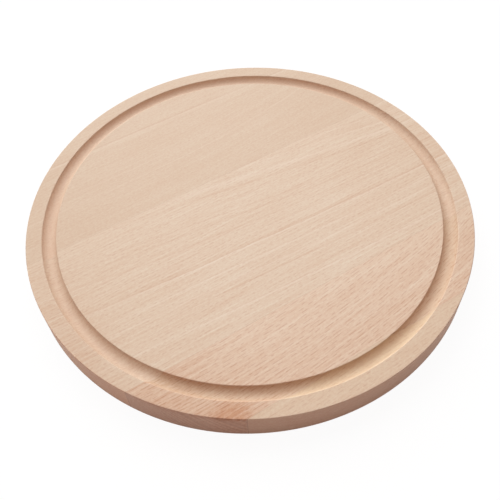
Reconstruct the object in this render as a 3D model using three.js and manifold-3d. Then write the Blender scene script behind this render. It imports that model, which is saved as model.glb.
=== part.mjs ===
// Round beech cutting board with a juice groove, edge-glued from four staves.
// Millimetres, +Z up. The origin is the centre of the underside, and +X runs along the grain.
// The board is turned as one disc and sliced along its glue lines, so the groove, the rim and the
// rounded edges run on from each stave into the next, as they do when the glued panel is turned.

import * as THREE from 'three';
import { mergeVertices } from 'three/addons/utils/BufferGeometryUtils.js';
import Module from 'manifold-3d';

// Disc
const BOARD_DIAMETER = 300;
const BOARD_THICKNESS = 21;
const TOP_EDGE_ROUND = 0.5;
const UNDERSIDE_EDGE_ROUND = 0.5;

// Juice groove, a cove in the top face inside a flat rim
const RIM_WIDTH = 10.6;
const GROOVE_WIDTH = 9.5;
const GROOVE_DEPTH = 3.5;
const GROOVE_EDGE_EASING = 0.4;

// Stave widths, from the disc's edge or the middle of one glue line to the middle of the next.
// The middle stave takes up what the others leave of the diameter.
const FRONT_STAVE_WIDTH = 22;
const NARROW_STAVE_WIDTH = 50.6;
const BACK_STAVE_WIDTH = 113.5;
const GLUE_LINE_THICKNESS = 0.15;

// Finishes: planed, unoiled beech from four planks, and cured wood glue
const FRONT_STAVE_COLOR = 0xe3c7a8;
const NARROW_STAVE_COLOR = 0xdfc1a9;
const MIDDLE_STAVE_COLOR = 0xe3c9b0;
const BACK_STAVE_COLOR = 0xe2c8b2;
const STAVE_ROUGHNESS = 0.75;
const GLUE_COLOR = 0xb8916f;
const GLUE_ROUGHNESS = 0.45;

// Facets
const TURNING_STEPS = 128;
const EDGE_ROUND_STEPS = 3;
const GROOVE_STEPS = 10;

const wasm = await Module();
wasm.setup();

const boardRadius = BOARD_DIAMETER / 2;

function arcPoints(centreX, centreZ, radius, startAngle, endAngle, steps) {
  const clockwise = endAngle < startAngle;
  const arc = new THREE.EllipseCurve(centreX, centreZ, radius, radius, startAngle, endAngle, clockwise);
  return arc.getPoints(steps);
}

// The cove's arc, from its outer wall down through the bottom and up its inner wall. A round-nosed
// cutter of this radius leaves the groove's width at the top face and its depth below it.
function groovePoints() {
  const cutterRadius = (GROOVE_WIDTH ** 2 / 4 + GROOVE_DEPTH ** 2) / (2 * GROOVE_DEPTH);
  const outerEdge = boardRadius - RIM_WIDTH;
  const innerEdge = outerEdge - GROOVE_WIDTH;
  const centreX = (outerEdge + innerEdge) / 2;
  const centreZ = BOARD_THICKNESS - GROOVE_DEPTH + cutterRadius;
  const outerAngle = Math.atan2(BOARD_THICKNESS - centreZ, GROOVE_WIDTH / 2);
  const innerAngle = -Math.PI - outerAngle;
  const easedAngle = GROOVE_EDGE_EASING / cutterRadius;
  const startAngle = outerAngle - easedAngle;
  const endAngle = innerAngle + easedAngle;
  return [
    new THREE.Vector2(outerEdge + GROOVE_EDGE_EASING, BOARD_THICKNESS),
    ...arcPoints(centreX, centreZ, cutterRadius, startAngle, endAngle, GROOVE_STEPS),
    new THREE.Vector2(innerEdge - GROOVE_EDGE_EASING, BOARD_THICKNESS),
  ];
}

// Half of the board's section, from the axis along the underside, up the wall and back over the top
function boardProfile() {
  const undersideX = boardRadius - UNDERSIDE_EDGE_ROUND;
  const topX = boardRadius - TOP_EDGE_ROUND;
  const topZ = BOARD_THICKNESS - TOP_EDGE_ROUND;
  return [
    new THREE.Vector2(0, 0),
    ...arcPoints(undersideX, UNDERSIDE_EDGE_ROUND, UNDERSIDE_EDGE_ROUND, -Math.PI / 2, 0, EDGE_ROUND_STEPS),
    ...arcPoints(topX, topZ, TOP_EDGE_ROUND, 0, Math.PI / 2, EDGE_ROUND_STEPS),
    ...groovePoints(),
    new THREE.Vector2(0, BOARD_THICKNESS),
  ];
}

function solidFrom(geometry) {
  geometry.deleteAttribute('normal');
  geometry.deleteAttribute('uv');
  const merged = mergeVertices(geometry);
  const vertProperties = new Float32Array(merged.attributes.position.array);
  const triVerts = new Uint32Array(merged.index.array);
  return new wasm.Manifold(new wasm.Mesh({ numProp: 3, vertProperties, triVerts }));
}

function geometryFrom(solid) {
  const mesh = solid.getMesh();
  const geometry = new THREE.BufferGeometry();
  geometry.setAttribute('position', new THREE.BufferAttribute(mesh.vertProperties, 3));
  geometry.setIndex(new THREE.BufferAttribute(mesh.triVerts, 1));
  geometry.computeVertexNormals();
  return geometry;
}

const turnedGeometry = new THREE.LatheGeometry(boardProfile(), TURNING_STEPS);
turnedGeometry.rotateX(Math.PI / 2);
const turnedBoard = solidFrom(turnedGeometry);

const board = new THREE.Group();
board.name = 'round_cutting_board';

function addPiece(name, solid, color, roughness) {
  const material = new THREE.MeshStandardMaterial({ color, roughness, metalness: 0 });
  const mesh = new THREE.Mesh(geometryFrom(solid), material);
  mesh.name = name;
  board.add(mesh);
}

// Each cut runs straight along the grain. The part behind it comes first, then what is left in front.
function cutAt(solid, y) {
  return solid.splitByPlane([0, 1, 0], y);
}

const halfGlue = GLUE_LINE_THICKNESS / 2;
const frontSeam = -boardRadius + FRONT_STAVE_WIDTH;
const narrowSeam = frontSeam + NARROW_STAVE_WIDTH;
const backSeam = boardRadius - BACK_STAVE_WIDTH;

// The glue fills each butt joint from the underside to the top face, and is sanded flush with the staves
const [backStave, fromBackGlue] = cutAt(turnedBoard, backSeam + halfGlue);
const [backGlue, fromMiddleStave] = cutAt(fromBackGlue, backSeam - halfGlue);
const [middleStave, fromMiddleGlue] = cutAt(fromMiddleStave, narrowSeam + halfGlue);
const [middleGlue, fromNarrowStave] = cutAt(fromMiddleGlue, narrowSeam - halfGlue);
const [narrowStave, fromFrontGlue] = cutAt(fromNarrowStave, frontSeam + halfGlue);
const [frontGlue, frontStave] = cutAt(fromFrontGlue, frontSeam - halfGlue);

addPiece('front_stave', frontStave, FRONT_STAVE_COLOR, STAVE_ROUGHNESS);
addPiece('narrow_stave', narrowStave, NARROW_STAVE_COLOR, STAVE_ROUGHNESS);
addPiece('middle_stave', middleStave, MIDDLE_STAVE_COLOR, STAVE_ROUGHNESS);
addPiece('back_stave', backStave, BACK_STAVE_COLOR, STAVE_ROUGHNESS);
addPiece('front_glue_line', frontGlue, GLUE_COLOR, GLUE_ROUGHNESS);
addPiece('middle_glue_line', middleGlue, GLUE_COLOR, GLUE_ROUGHNESS);
addPiece('back_glue_line', backGlue, GLUE_COLOR, GLUE_ROUGHNESS);

export default board;
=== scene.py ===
"""A round beech cutting board with a juice groove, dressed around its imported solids.

Metres, +Z up. The origin is the centre of the underside, and the grain runs along +X.
"""

import math

import bpy
from mathutils import Matrix, Vector


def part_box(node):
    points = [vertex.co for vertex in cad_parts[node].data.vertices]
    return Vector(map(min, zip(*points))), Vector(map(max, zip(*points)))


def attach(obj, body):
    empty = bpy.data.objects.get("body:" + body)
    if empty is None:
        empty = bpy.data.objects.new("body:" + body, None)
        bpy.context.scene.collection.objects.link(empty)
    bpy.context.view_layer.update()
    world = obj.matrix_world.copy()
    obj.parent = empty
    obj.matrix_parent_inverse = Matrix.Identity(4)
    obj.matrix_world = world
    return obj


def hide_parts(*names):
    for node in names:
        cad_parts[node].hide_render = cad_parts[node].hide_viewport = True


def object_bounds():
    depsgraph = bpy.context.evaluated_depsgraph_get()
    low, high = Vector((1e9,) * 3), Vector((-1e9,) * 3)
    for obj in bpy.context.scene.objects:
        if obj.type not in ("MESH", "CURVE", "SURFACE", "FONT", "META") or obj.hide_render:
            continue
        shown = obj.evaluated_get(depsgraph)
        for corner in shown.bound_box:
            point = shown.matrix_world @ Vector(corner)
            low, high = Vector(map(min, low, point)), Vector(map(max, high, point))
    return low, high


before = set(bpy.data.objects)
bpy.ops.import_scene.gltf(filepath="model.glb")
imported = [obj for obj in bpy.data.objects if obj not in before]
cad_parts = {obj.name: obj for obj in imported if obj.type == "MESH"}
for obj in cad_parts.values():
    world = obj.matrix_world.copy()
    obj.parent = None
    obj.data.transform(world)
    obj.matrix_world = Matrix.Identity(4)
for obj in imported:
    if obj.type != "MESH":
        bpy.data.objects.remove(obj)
cad_low, cad_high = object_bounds()

# Turned blank
# Four beech staves are glued edge to edge into one panel, which is turned to a disc. The lathe rounds
# both edges, and a round-nosed cutter leaves the juice groove inside a flat rim. The blank is shaped
# once here, and every stave and glue line is a slice of it.
BOARD_RADIUS = (cad_high.x - cad_low.x) / 2
BOARD_THICKNESS = cad_high.z - cad_low.z
EDGE_ROUND = 0.0005
EDGE_ROUND_STEPS = 4
RIM_WIDTH = 0.0106
GROOVE_WIDTH = 0.0095
GROOVE_DEPTH = 0.0035
GROOVE_STEPS = 22
GROOVE_EDGE_EASING = 0.0004
GROOVE_EDGE_STEPS = 3
TURNING_STEPS = 360
ON_PLANE = 1e-6


def select(piece, part, wanted):
    """Selects the faces or edges of a piece that the test picks, and leaves it in edit mode."""
    bpy.ops.object.mode_set(mode="EDIT")
    bpy.ops.mesh.select_mode(type="FACE" if part == "polygons" else "EDGE")
    bpy.ops.mesh.select_all(action="DESELECT")
    bpy.ops.object.mode_set(mode="OBJECT")
    for item in getattr(piece.data, part):
        item.select = wanted(item)
    bpy.ops.object.mode_set(mode="EDIT")


def is_top(face):
    return abs(face.center.z - BOARD_THICKNESS) < ON_PLANE


def is_cap(face):
    return is_top(face) or abs(face.center.z) < ON_PLANE


bpy.ops.object.select_all(action="DESELECT")
bpy.ops.mesh.primitive_cylinder_add(
    vertices=TURNING_STEPS,
    radius=BOARD_RADIUS,
    depth=BOARD_THICKNESS,
    location=(0, 0, BOARD_THICKNESS / 2),
)
blank = bpy.context.object
blank.name = "turned_blank"
bpy.ops.object.transform_apply(location=True, rotation=True, scale=True)
select(blank, "polygons", is_cap)
bpy.ops.mesh.region_to_loop()
bpy.ops.mesh.bevel(offset=EDGE_ROUND, segments=EDGE_ROUND_STEPS, affect="EDGES")

# The groove is sunk ring by ring into the top face, along the arc that the cutter leaves.
cutter_radius = (GROOVE_WIDTH**2 / 4 + GROOVE_DEPTH**2) / (2 * GROOVE_DEPTH)
cutter_height = cutter_radius - GROOVE_DEPTH
half_sweep = math.acos(cutter_height / cutter_radius)
select(blank, "polygons", is_top)
bpy.ops.mesh.inset(thickness=RIM_WIDTH - EDGE_ROUND, depth=0)
across_from, up_from = GROOVE_WIDTH / 2, 0
for step in range(1, GROOVE_STEPS + 1):
    sweep = half_sweep * (1 - 2 * step / GROOVE_STEPS)
    across_to = cutter_radius * math.sin(sweep)
    up_to = cutter_height - cutter_radius * math.cos(sweep)
    bpy.ops.mesh.inset(thickness=across_from - across_to, depth=up_to - up_from)
    across_from, up_from = across_to, up_to

# Sanding takes the sharpness off the groove's two edges.
GROOVE_OUTER_EDGE = BOARD_RADIUS - RIM_WIDTH
GROOVE_INNER_EDGE = GROOVE_OUTER_EDGE - GROOVE_WIDTH
EDGE_BAND = 0.0001


def is_groove_edge(edge):
    ends = [blank.data.vertices[index].co for index in edge.vertices]
    radii = [math.hypot(end.x, end.y) for end in ends]
    level = all(abs(end.z - BOARD_THICKNESS) < EDGE_BAND for end in ends)
    outer = all(abs(radius - GROOVE_OUTER_EDGE) < EDGE_BAND for radius in radii)
    inner = all(abs(radius - GROOVE_INNER_EDGE) < EDGE_BAND for radius in radii)
    return level and (outer or inner)


select(blank, "edges", is_groove_edge)
bpy.ops.mesh.bevel(offset=GROOVE_EDGE_EASING, segments=GROOVE_EDGE_STEPS, affect="EDGES")
bpy.ops.object.mode_set(mode="OBJECT")
SHARP_EDGE = math.radians(40)


def slice_blank(name, node, material):
    """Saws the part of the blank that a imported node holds, and lets it stand for that node."""
    front, back = (corner.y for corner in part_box(node))
    bpy.ops.object.select_all(action="DESELECT")
    piece = blank.copy()
    piece.data = blank.data.copy()
    piece.name = name
    bpy.context.collection.objects.link(piece)
    piece.select_set(True)
    bpy.context.view_layer.objects.active = piece
    bpy.ops.object.mode_set(mode="EDIT")
    for place, front_half in ((front, True), (back, False)):
        if abs(place) < BOARD_RADIUS - EDGE_BAND:
            bpy.ops.mesh.select_all(action="SELECT")
            bpy.ops.mesh.bisect(
                plane_co=(0, place, 0), plane_no=(0, 1, 0), use_fill=True,
                clear_inner=front_half, clear_outer=not front_half,
            )
    bpy.ops.object.mode_set(mode="OBJECT")
    bpy.ops.object.shade_smooth_by_angle(angle=SHARP_EDGE)
    bpy.ops.object.modifier_add(type="WEIGHTED_NORMAL")
    piece.modifiers[-1].keep_sharp = True
    bpy.ops.object.modifier_apply(modifier=piece.modifiers[-1].name)
    piece.data.materials.clear()
    piece.data.materials.append(material)
    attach(piece, "root")
    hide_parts(node)


# Back stave
# The widest plank, at the back: even, pale tan beech with faint growth rings that rise to the right,
# and one dark ring near the rim. Planed, sanded and left without oil.
class Flow:
    """One output of a shader node. Arithmetic on it adds Math nodes to the same tree."""

    def __init__(self, socket):
        self.socket = socket

    def node(self, kind, inputs, output=0, **settings):
        tree = self.socket.id_data
        made = tree.nodes.new("ShaderNode" + kind)
        for name, value in settings.items():
            setattr(made, name, value)
        for key, value in inputs.items():
            if isinstance(value, Flow):
                tree.links.new(value.socket, made.inputs[key])
            else:
                made.inputs[key].default_value = value
        return Flow(made.outputs[output])

    def math(self, operation, *values):
        return self.node("Math", dict(enumerate(values)), operation=operation)

    def __add__(self, other):
        return self.math("ADD", self, other)

    def __radd__(self, other):
        return self.math("ADD", other, self)

    def __sub__(self, other):
        return self.math("SUBTRACT", self, other)

    def __rsub__(self, other):
        return self.math("SUBTRACT", other, self)

    def __mul__(self, other):
        return self.math("MULTIPLY", self, other)

    def __rmul__(self, other):
        return self.math("MULTIPLY", other, self)

    def __truediv__(self, other):
        return self.math("DIVIDE", self, other)

    def __pow__(self, other):
        return self.math("POWER", self, other)

    def rise(self, low, high):
        """A smooth step from 0 at low to 1 at high. It falls where low is the higher of the two."""
        inputs = {"Value": self, "From Min": low, "From Max": high}
        return self.node("MapRange", inputs, interpolation_type="SMOOTHSTEP")

    def cloud(self, along, across, deep, detail=2.0):
        """Soft noise from -0.5 to 0.5 on three coordinates."""
        place = self.node("CombineXYZ", {"X": along, "Y": across, "Z": deep})
        return self.node("TexNoise", {"Vector": place, "Scale": 1.0, "Detail": detail}) - 0.5

    def stain(self, colour, tint):
        """A colour multiplied by a tint, as far as this amount says."""
        inputs = {0: self, 6: colour, 7: (*tint, 1.0)}
        return self.node("Mix", inputs, output=2, data_type="RGBA", blend_type="MULTIPLY")

    def blend(self, colour, other):
        """A colour turned into another, as far as this amount says."""
        inputs = {0: self, 6: colour, 7: other}
        return self.node("Mix", inputs, output=2, data_type="RGBA", blend_type="MIX")


# The wood is laid out in millimetres, and a coordinate is divided by the length of the feature it makes.
# How far something hides or shows is a share of 1.
MILLIMETRES = 1000.0
FINISH_BLEND = 1.0
ROUTED_DEPTH_STARTS = (0.05, 0.7)
ROUTED_DEPTH_ENDS = (6.0, 5.0)
BURNISH_HIDES_LINES = 0.7
BURNISH_HIDES_BANDS = 0.8
RING_EDGE_BACK = 0.2
RING_EDGE_FRONT = -0.3
BAND_SPACING = 1.9
FLECK_SPACING = 2.0
WALL_HIDES_FLECKS = 0.7
WALL_RING_SPACING = 0.75
WALL_RINGS_CLEAR = (-70, -105)
WALL_RING_STRENGTH = 0.9
PLANK_ENDS = (40, 150)
HEARTWOOD_SKIN = (4.0, 0.3)
HEARTWOOD_BELOW = 0.35

# Clean beech is multiplied by these, apart from the pale wood at a ring's edge, which is a colour.
END_TINT = (0.957, 0.936, 0.915)
MOTTLE_TINT = (0.96, 0.91, 0.885)
BAND_TINT = (0.935, 0.86, 0.82)
FIBRE_TINT = (0.90, 0.80, 0.745)
LATEWOOD_TINT = (0.88, 0.76, 0.69)
EARLYWOOD_COLOUR = (0.88, 0.77, 0.65, 1.0)
FLECK_TINT = (0.80, 0.65, 0.60)
HEARTWOOD_TINT = (0.79, 0.57, 0.46)
WALL_RING_TINT = (0.74, 0.68, 0.66)

# Sanded beech without oil is matt, and its fibres stand a fraction of a millimetre proud.
BEECH_ROUGHNESS = 0.62
SPECULAR_LEVEL = 0.25
RELIEF_STRENGTH = 0.05
RELIEF_DEPTH = 0.0002


def beech(
    name, colour, rings, grain, dip, lines, band, flecks, fibres, groove_tone_and_shade, wall_painted_light,
    slant=None, fade=None, heart=None,
):
    """Plain-sawn beech as a solid: growth rings that dip into the board, ray flecks and fine fibres.

    rings and grain give the place of a growth ring and of a fibre on the top face, across the board,
    and dip is how far a ring moves for each millimetre of depth. Every line is one clear ring: its
    place, the strength and width of its dark side, and the strength and width of the pale wood in
    front of it. fade weakens the lines over the face, and band is the strength of the faint rings.
    flecks gives the length of a fleck's place, the share of places that hold one, and the strength.
    fibres gives the strength of the long streaks and of the pores. groove tints the routed surface,
    partly with the cutter's own tone and partly with painted shade, and wall is painted light on the
    turned edge. slant leans the ring lines on the turned edge, and heart gives the amount of red
    heartwood.
    """
    material = bpy.data.materials.new(name)
    material.use_nodes = True
    tree = material.node_tree
    start = Flow(tree.nodes.new("ShaderNodeTexCoord").outputs["Object"])
    scaled = start.node("VectorMath", {0: start, "Scale": MILLIMETRES}, operation="SCALE")
    x, y, z = (start.node("SeparateXYZ", {0: scaled}, output=axis) for axis in range(3))
    depth = BOARD_THICKNESS * MILLIMETRES - z
    radius = (x * x + y * y) ** 0.5

    # The cutter leaves the groove in a tone of its own, and its burnish hides the rings. Its tint there
    # is partly that tone and partly painted shade, which darkens the recess.
    inner_edge = GROOVE_INNER_EDGE * MILLIMETRES
    outer_edge = GROOVE_OUTER_EDGE * MILLIMETRES
    inside = radius.rise(inner_edge - FINISH_BLEND, inner_edge)
    outside = radius.rise(outer_edge, outer_edge + FINISH_BLEND)
    routed = depth.rise(*ROUTED_DEPTH_STARTS) * depth.rise(*ROUTED_DEPTH_ENDS) * inside * (1 - outside)

    # The turned wall cuts across the rings, so it shows them clearer than the flecks. The same mask
    # carries the painted light on the wall.
    turned = radius.rise(BOARD_RADIUS * MILLIMETRES - FINISH_BLEND, BOARD_RADIUS * MILLIMETRES)

    # Growth rings lie steeper the closer a plank was sawn to the pith, so each one shifts as it dips.
    sway = start.cloud(x / 70, y / 20, z / 20) * 2.4
    wander = sway + start.cloud(x / 22, y / 5, z / 5, detail=4.0) * 0.9
    radial = rings(x, y) + depth * dip + wander
    ebb = start.cloud(x / 35, radial / 8, 0.0).rise(-0.5, 0.1) * (1 - routed * BURNISH_HIDES_LINES)
    if fade:
        ebb = ebb * fade(x, y)
    late = 0.0
    early = 0.0
    for place, dark, dark_width, pale, pale_width in lines:
        offset = radial - place
        behind = offset.rise(RING_EDGE_FRONT, RING_EDGE_BACK)
        before = offset.rise(RING_EDGE_BACK, RING_EDGE_FRONT)
        late = offset.rise(dark_width, 0.0) ** 2 * behind * dark + late
        early = offset.rise(-pale_width, 0.0) ** 2 * before * pale + early
    bands = start.cloud(x / 110, radial / BAND_SPACING, 0.0, detail=3.0)

    # Rays are thin ribbons that run out from the pith, so a plain-sawn face cuts them to short flecks.
    # They lie in lanes, each lane has places of uneven length, and a random pick says which places
    # hold a fleck, how long it is and how far it strays.
    steepness = math.hypot(1, dip)
    across = grain(x, y)
    round_ring = (across * dip + z) / steepness
    outward = (across - z * dip) / steepness
    fleck_length, fleck_share, fleck_strength = flecks
    lane = round_ring / FLECK_SPACING + start.cloud(x / 30, y / 8, z / 8) * 1.2
    lane_number = lane.math("FLOOR", lane)
    shuffle = start.node("TexWhiteNoise", {"W": lane_number}, noise_dimensions="1D") * 10
    stretch = x / fleck_length + shuffle + start.cloud(x / 11, lane_number * 1.7, 0.0) * 1.8
    place = start.node("CombineXYZ", {"X": stretch.math("FLOOR", stretch), "Y": lane_number})
    pick = start.node("TexWhiteNoise", {"Vector": place}, output=1, noise_dimensions="2D")
    chance, stray, size = (start.node("SeparateColor", {0: pick}, output=channel) for channel in range(3))
    along = (stretch.math("FRACT", stretch) - 0.5 + (chance - 0.5) * 0.3) * (2.2 + size * 1.4)
    sideways = (lane.math("FRACT", lane) - 0.5 + (stray - 0.5) * 0.35) * 5.2
    reach = (along ** 4 + sideways ** 2) ** 0.5
    fleck = reach.rise(1.0, 0.2) * chance.rise(1 - fleck_share, 1.4 - fleck_share)

    # Long streaks and short pores are the fibres, and a soft mottle lies under them.
    streak_strength, pore_strength = fibres
    streaks = start.cloud(x / 40, round_ring / 0.9, outward / 1.5)
    pores = start.cloud(x / 1.6, round_ring / 0.9, outward / 0.9)
    fibre = streaks * streak_strength + pores * pore_strength
    mottle = start.cloud(x / 60, across / 14, depth / 8)

    wood = x.math("ABSOLUTE", x).rise(*PLANK_ENDS).stain((*colour, 1.0), END_TINT)
    wood = (mottle.rise(-0.3, 0.3) * 0.5).stain(wood, MOTTLE_TINT)
    clear_bands = bands.rise(-0.3, 0.3) * (1 - routed * BURNISH_HIDES_BANDS) * (1 + turned)
    wood = (clear_bands * band).stain(wood, BAND_TINT)
    wood = fibre.rise(-0.4, 0.4).stain(wood, FIBRE_TINT)
    if lines:
        wood = (late * ebb).stain(wood, LATEWOOD_TINT)
        wood = (early * ebb).blend(wood, EARLYWOOD_COLOUR)
    wood = (fleck * (1 - turned * WALL_HIDES_FLECKS) * fleck_strength).stain(wood, FLECK_TINT)
    if heart:
        skin = HEARTWOOD_BELOW + (1 - HEARTWOOD_BELOW) * depth.rise(*HEARTWOOD_SKIN)
        red = heart(x, y) * (1 + bands * 1.2 + fibre * 0.8) * skin
        wood = red.stain(wood, HEARTWOOD_TINT)
    # Partly the cutter's own tone, and partly painted shade that darkens the groove as a recess.
    wood = routed.stain(wood, groove_tone_and_shade)
    # Painted light: the turned wall is made lighter, and on some staves less red, as if more light fell
    # on it.
    wood = turned.stain(wood, wall_painted_light)
    if slant:
        leaning = start.cloud(x / 60, (y + depth * slant) / WALL_RING_SPACING, 0.0).rise(-0.12, 0.2)
        clear = turned * y.rise(*WALL_RINGS_CLEAR) * WALL_RING_STRENGTH
        wood = (leaning * clear).stain(wood, WALL_RING_TINT)

    shader = tree.nodes["Principled BSDF"]
    tree.links.new(wood.socket, shader.inputs["Base Color"])
    rough = BEECH_ROUGHNESS + fibre * 0.12 - fleck * 0.08
    tree.links.new(rough.socket, shader.inputs["Roughness"])
    height = fibre - fleck * 0.5
    relief = {"Height": height, "Strength": RELIEF_STRENGTH, "Distance": RELIEF_DEPTH}
    tree.links.new(start.node("Bump", relief).socket, shader.inputs["Normal"])
    shader.inputs["Specular IOR Level"].default_value = SPECULAR_LEVEL
    return material


def rising_rings(x, y):
    """Rings that bend up to the right, all but the dark one near the rim."""
    bend = x.math("MAXIMUM", x + 50, 0.0) ** 2 * 0.0008
    return y - bend * y.rise(108, 85)


slice_blank(
    "back_stave_wood", "back_stave",
    beech(
        "beech_back", colour=(0.782, 0.667, 0.526), dip=3.5,
        rings=rising_rings,
        grain=lambda x, y: y - x * 0.04,
        lines=(
            (110.0, 0.5, 2.2, 0.18, 7),
            (78.0, 0.0, 1, 0.12, 3),
            (68.0, 0.1, 4, 0.12, 4),
            (52.0, 0.1, 6, 0.0, 1),
        ),
        band=0.4, flecks=(4.0, 0.5, 0.25), fibres=(0.35, 0.8),
        groove_tone_and_shade=(1.02, 0.955, 0.945), wall_painted_light=(1.0, 1.0, 1.0),
    ),
)


# Middle stave
# The plank through the centre, with clear growth rings that fan out to the left. Each ring darkens
# slowly towards the front and stops at a pale edge. Planed, sanded and left without oil.
def fanned_rings(x, y):
    """Rings that open out to the left, most of all in the back half of the plank."""
    fan = 0.125 * y.rise(-35, 20) * (1 - 0.45 * x.rise(0, -60))
    return y - x * x * 0.00009 + x * (0.046 + fan)


def fading_rings(x, y):
    """Ring lines that grow faint towards the left end, most of all in the back half."""
    return (1 - x.rise(-20, -60) * y.rise(10, 25) * 0.8) * (1 - x.rise(-50, -100) * 0.4)


slice_blank(
    "middle_stave_wood", "middle_stave",
    beech(
        "beech_middle", colour=(0.823, 0.724, 0.585), dip=3.5,
        rings=fanned_rings,
        grain=lambda x, y: y - x * 0.02,
        lines=(
            (47.0, 0.0, 1, 0.15, 6),
            (39.5, 0.0, 1, 0.25, 3.5),
            (30.5, 0.0, 1, 0.4, 5),
            (22.2, 0.5, 3.2, 0.0, 1),
            (3.0, 0.35, 2.5, 0.1, 3),
            (-2.4, 0.35, 2.5, 0.0, 1),
            (-11.5, 0.25, 2.5, 0.15, 3),
            (-19.0, 0.25, 2.5, 0.15, 3),
            (-27.4, 0.5, 4.5, 0.42, 3),
            (-38.0, 0.1, 2, 0.35, 2.6),
            (-46.3, 0.0, 1, 0.32, 2.4),
            (-52.3, 0.6, 2.4, 0.1, 3),
            (-66.0, 0.15, 2, 0.4, 2.6),
        ),
        band=0.7, flecks=(5.0, 0.8, 0.42), fibres=(0.75, 0.75),
        groove_tone_and_shade=(0.955, 0.89, 0.865), wall_painted_light=(1.10, 1.10, 1.11),
        fade=fading_rings,
        heart=lambda x, y: x.rise(-110, -145) * y.rise(60, -60) * 0.2,
    ),
)


# Narrow stave
# A slim plank with dense ray flecks, planed, sanded and left without oil. It grows pinker towards
# the front left, where red heartwood shows on the rim, and its rings slant on the wall.
def red_heart(x, y):
    """A patch of heartwood on the rim, and a blush that deepens towards it."""
    patch = (((x + 85) / 17) ** 2 + ((y + 122) / 12) ** 2) ** 0.5
    blush = x.rise(-40, -115) * 0.34 + y.rise(-76, -94) * 0.09 + y.rise(-85, -125) * 0.14
    return blush + patch.rise(1.0, 0.3) * 0.5


slice_blank(
    "narrow_stave_wood", "narrow_stave",
    beech(
        "beech_narrow", colour=(0.836, 0.716, 0.574), dip=3.0,
        rings=lambda x, y: y - x * 0.03,
        grain=lambda x, y: y - x * 0.116 - x * x * 0.0006,
        lines=(),
        band=0.5, flecks=(9.0, 1.1, 0.68), fibres=(0.95, 0.7),
        groove_tone_and_shade=(0.89, 0.825, 0.765), wall_painted_light=(1.01, 1.07, 1.14), slant=0.7,
        heart=red_heart,
    ),
)

# Front stave
# The segment at the front rim: smooth, yellowish beech with faint flecks and no clear ring. Planed,
# sanded and left without oil.
slice_blank(
    "front_stave_wood", "front_stave",
    beech(
        "beech_front", colour=(0.77, 0.644, 0.495), dip=3.0,
        rings=lambda x, y: y - x * 0.02,
        grain=lambda x, y: y - x * 0.05,
        lines=(),
        band=0.4, flecks=(7.5, 0.9, 0.4), fibres=(0.5, 0.8),
        groove_tone_and_shade=(0.985, 0.93, 0.85), wall_painted_light=(1.02, 1.07, 1.13),
    ),
)

# Glue lines
# A thin film of cured wood glue fills each butt joint through the full thickness, sanded flush. It
# has taken up the colour of the wood and hardly shows on the top face. It is a little glossier than
# the wood, uneven along the joint, and darker where it ends at the wall.
GLUE_COLOUR = (0.66, 0.505, 0.385, 1.0)
GLUE_SOAKED_TINT = (0.80, 0.70, 0.62)
GLUE_END_TINT = (0.72, 0.60, 0.55)
GLUE_END_DEPTH = 0.001
GLUE_PATCHES_PER_METRE = 120.0
GLUE_ROUGHNESS = 0.35
GLUE_ROUGHNESS_SPREAD = 0.3
glue = bpy.data.materials.new("wood_glue")
glue.use_nodes = True
tree = glue.node_tree
start = Flow(tree.nodes.new("ShaderNodeTexCoord").outputs["Object"])
soaked = start.node("TexNoise", {"Vector": start, "Scale": GLUE_PATCHES_PER_METRE, "Detail": 3.0})
film = soaked.rise(0.4, 0.7).stain(GLUE_COLOUR, GLUE_SOAKED_TINT)
level = start.node("VectorMath", {0: start, 1: (1.0, 1.0, 0.0)}, operation="MULTIPLY")
radius = start.node("VectorMath", {0: level}, output=1, operation="LENGTH")
film = radius.rise(BOARD_RADIUS - GLUE_END_DEPTH, BOARD_RADIUS).stain(film, GLUE_END_TINT)
shader = tree.nodes["Principled BSDF"]
tree.links.new(film.socket, shader.inputs["Base Color"])
rough = GLUE_ROUGHNESS + soaked * GLUE_ROUGHNESS_SPREAD
tree.links.new(rough.socket, shader.inputs["Roughness"])
shader.inputs["Specular IOR Level"].default_value = SPECULAR_LEVEL
for node in ("front_glue_line", "middle_glue_line", "back_glue_line"):
    slice_blank(node + "_film", node, glue)
bpy.data.objects.remove(blank)

# Floor and light
# A plain pale floor that shows white and keeps the board's shadow, one large soft light behind the
# board, and a weaker warm light from all round.
FLOOR_SIZE = 6.0
FLOOR_DROP = 0.0002
FLOOR_BOUNCE = (0.72, 0.58, 0.56, 1.0)
FLOOR_SHOWN = (0.07, 0.07, 0.07, 1.0)
FLOOR_GLOW = (0.945, 0.945, 0.945, 1.0)
NO_GLOW = (0.0, 0.0, 0.0, 1.0)
bpy.ops.object.select_all(action="DESELECT")
bpy.ops.mesh.primitive_plane_add(size=FLOOR_SIZE, location=(0, 0, -FLOOR_DROP))
floor = bpy.context.object
floor.name = "floor"
paper = bpy.data.materials.new("white_paper")
paper.use_nodes = True
tree = paper.node_tree
shader = tree.nodes["Principled BSDF"]
shader.inputs["Roughness"].default_value = 1.0
shader.inputs["Specular IOR Level"].default_value = 0.0


def shown_directly(tree):
    """1 for what is seen straight on, in a reflection or through glass, and 0 for light that bounces."""
    path = tree.nodes.new("ShaderNodeLightPath")
    seen = Flow(path.outputs["Is Camera Ray"]) + Flow(path.outputs["Is Glossy Ray"])
    seen = seen + Flow(path.outputs["Is Transmission Ray"])
    return seen.math("MINIMUM", seen, 1.0)


seen = shown_directly(tree)
tree.links.new(seen.blend(FLOOR_BOUNCE, FLOOR_SHOWN).socket, shader.inputs["Base Color"])
tree.links.new(seen.blend(NO_GLOW, FLOOR_GLOW).socket, shader.inputs["Emission Color"])
shader.inputs["Emission Strength"].default_value = 1.0
floor.data.materials.append(paper)

FILL_COLOUR = (0.32, 0.198, 0.16, 1.0)
WHITE = (1.0, 1.0, 1.0, 1.0)
world = bpy.data.worlds.new("studio")
bpy.context.scene.world = world
world.use_nodes = True
tree = world.node_tree
fill = shown_directly(tree).blend(FILL_COLOUR, WHITE)
tree.links.new(fill.socket, tree.nodes["Background"].inputs["Color"])

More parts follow.
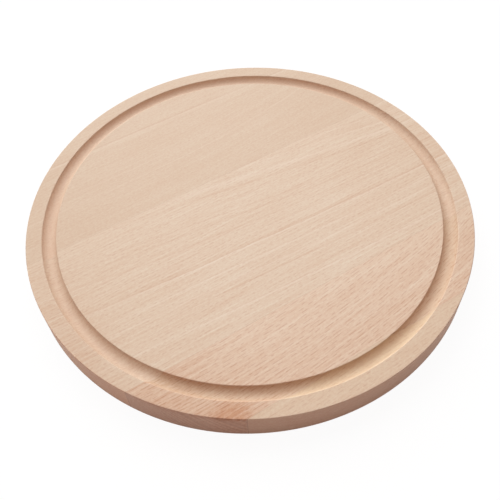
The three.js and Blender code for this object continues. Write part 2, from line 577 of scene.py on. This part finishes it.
SOFTBOX_AZIMUTH = math.radians(78)
SOFTBOX_HEIGHT = math.radians(38)
SOFTBOX_DISTANCE = 6.0
SOFTBOX_SIZE = 8.6
SOFTBOX_POWER = 715.0
SOFTBOX_COLOUR = (0.878, 0.967, 1.0)
softbox_data = bpy.data.lights.new("softbox", "AREA")
softbox_data.energy = SOFTBOX_POWER
softbox_data.color = SOFTBOX_COLOUR
softbox_data.size = SOFTBOX_SIZE
softbox = bpy.data.objects.new("softbox", softbox_data)
bpy.context.collection.objects.link(softbox)
towards = Vector((
    math.cos(SOFTBOX_AZIMUTH) * math.cos(SOFTBOX_HEIGHT),
    math.sin(SOFTBOX_AZIMUTH) * math.cos(SOFTBOX_HEIGHT),
    math.sin(SOFTBOX_HEIGHT),
))
softbox.location = towards * SOFTBOX_DISTANCE
softbox.rotation_mode = "QUATERNION"
softbox.rotation_quaternion = towards.to_track_quat("Z", "Y")

# Camera
# It stands in front of the board and looks down on it, turned a little so that the grain rises to
# the right.
CAMERA_AZIMUTH = math.radians(28.71)
CAMERA_ELEVATION = math.radians(53.44)
CAMERA_ROLL = math.radians(-3.148)
CAMERA_TARGET_FORWARD = 0.01904
CAMERA_TARGET_SIDEWAYS = -0.00039
CAMERA_DISTANCE = 0.4620
CAMERA_LENS = 48.34
CAMERA_NEAREST = 0.01
back_of_view = Vector((
    -math.sin(CAMERA_AZIMUTH) * math.cos(CAMERA_ELEVATION),
    -math.cos(CAMERA_AZIMUTH) * math.cos(CAMERA_ELEVATION),
    math.sin(CAMERA_ELEVATION),
))
forward = Vector((-math.sin(CAMERA_AZIMUTH), -math.cos(CAMERA_AZIMUTH), 0))
sideways = Vector((math.cos(CAMERA_AZIMUTH), -math.sin(CAMERA_AZIMUTH), 0))
target = forward * CAMERA_TARGET_FORWARD + sideways * CAMERA_TARGET_SIDEWAYS
camera_data = bpy.data.cameras.new("camera")
camera_data.lens = CAMERA_LENS
camera_data.clip_start = CAMERA_NEAREST
camera = bpy.data.objects.new("camera", camera_data)
bpy.context.collection.objects.link(camera)
place = Matrix.Translation(target + back_of_view * CAMERA_DISTANCE)
upright = back_of_view.to_track_quat("Z", "Y").to_matrix().to_4x4()
camera.matrix_world = place @ upright @ Matrix.Rotation(CAMERA_ROLL, 4, "Z")
bpy.context.scene.camera = camera
bpy.context.scene.view_settings.view_transform = "Standard"
